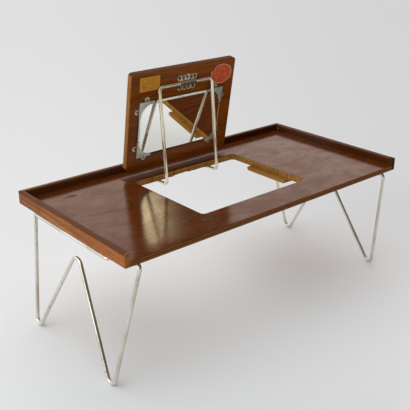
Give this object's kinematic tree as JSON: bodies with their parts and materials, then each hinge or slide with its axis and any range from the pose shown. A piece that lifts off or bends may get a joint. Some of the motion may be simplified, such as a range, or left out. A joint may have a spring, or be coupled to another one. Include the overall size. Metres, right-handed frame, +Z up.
{
  "type": "folding overbed table",
  "caption": "Low wooden bed table with folding bent-wire legs and a mirror panel that lifts out of the top on a wire bail.",
  "frame": {"origin": "on the floor, under the middle of the tray", "axes": "+X to the user's right along the tray, +Y away from the user towards the back rail, +Z up"},
  "size_m": [0.6692, 0.327, 0.4389],
  "materials": {
    "top_veneer": "glossy lacquered walnut veneer on plywood",
    "panel_veneer": "lacquered walnut veneer on plywood",
    "rail_wood": "satin lacquered solid wood",
    "ledge_wood": "plain unpolished wood",
    "wire": "dulled nickel plate",
    "zinc_sheet": "dull stamped zinc plate",
    "screw": "worn plate",
    "mirror": "bevelled silvered glass"
  },
  "bodies": {
    "table": {"tabletop": "top_veneer", "rail_left": "rail_wood", "rail_right": "rail_wood", "rail_back": "rail_wood", "ledge_left": "ledge_wood", "ledge_right": "ledge_wood", "ledge_screws": "screw", "leg_saddle_left_front": "zinc_sheet", "leg_saddle_left_back": "zinc_sheet", "leg_saddle_right_front": "zinc_sheet", "leg_saddle_right_back": "zinc_sheet", "bail_saddle_left": "zinc_sheet", "bail_saddle_right": "zinc_sheet", "saddle_screws": "screw"},
    "leg_left": {"leg_frame_left": "wire"},
    "leg_right": {"leg_frame_right": "wire"},
    "bail": {"bail_wire_frame": "wire"},
    "panel": {"flap_panel": "panel_veneer", "mirror_glass": "mirror", "mirror_clip_top_left": "zinc_sheet", "mirror_clip_top_right": "zinc_sheet", "mirror_clip_bottom_left": "zinc_sheet", "mirror_clip_bottom_right": "zinc_sheet", "mirror_clip_screws": "screw", "keeper_clip": "zinc_sheet", "keeper_screws": "screw"}
  },
  "joints": [
    {"name": "leg_left_fold", "type": "hinge", "parent": "table", "child": "leg_left", "pos_m": [-0.295, 0, 0.22015], "axis": [0, -1, 0], "range_deg": [0, 98]},
    {"name": "leg_right_fold", "type": "hinge", "parent": "table", "child": "leg_right", "pos_m": [0.295, 0, 0.22015], "axis": [0, 1, 0], "range_deg": [0, 98]},
    {"name": "bail_fold", "type": "hinge", "parent": "table", "child": "bail", "pos_m": [0, 0.116, 0.22015], "axis": [1, 0, 0], "range_deg": [0, 82.4]},
    {"name": "panel_tilt", "type": "hinge", "parent": "bail", "child": "panel", "pos_m": [0, 0.09176, 0.40406], "axis": [1, 0, 0], "range_deg": [-1.91, 0]}
  ],
  "couplings": [
    {"joint": "panel_tilt", "follows": "bail_fold", "ratio": -0.023058}
  ]
}
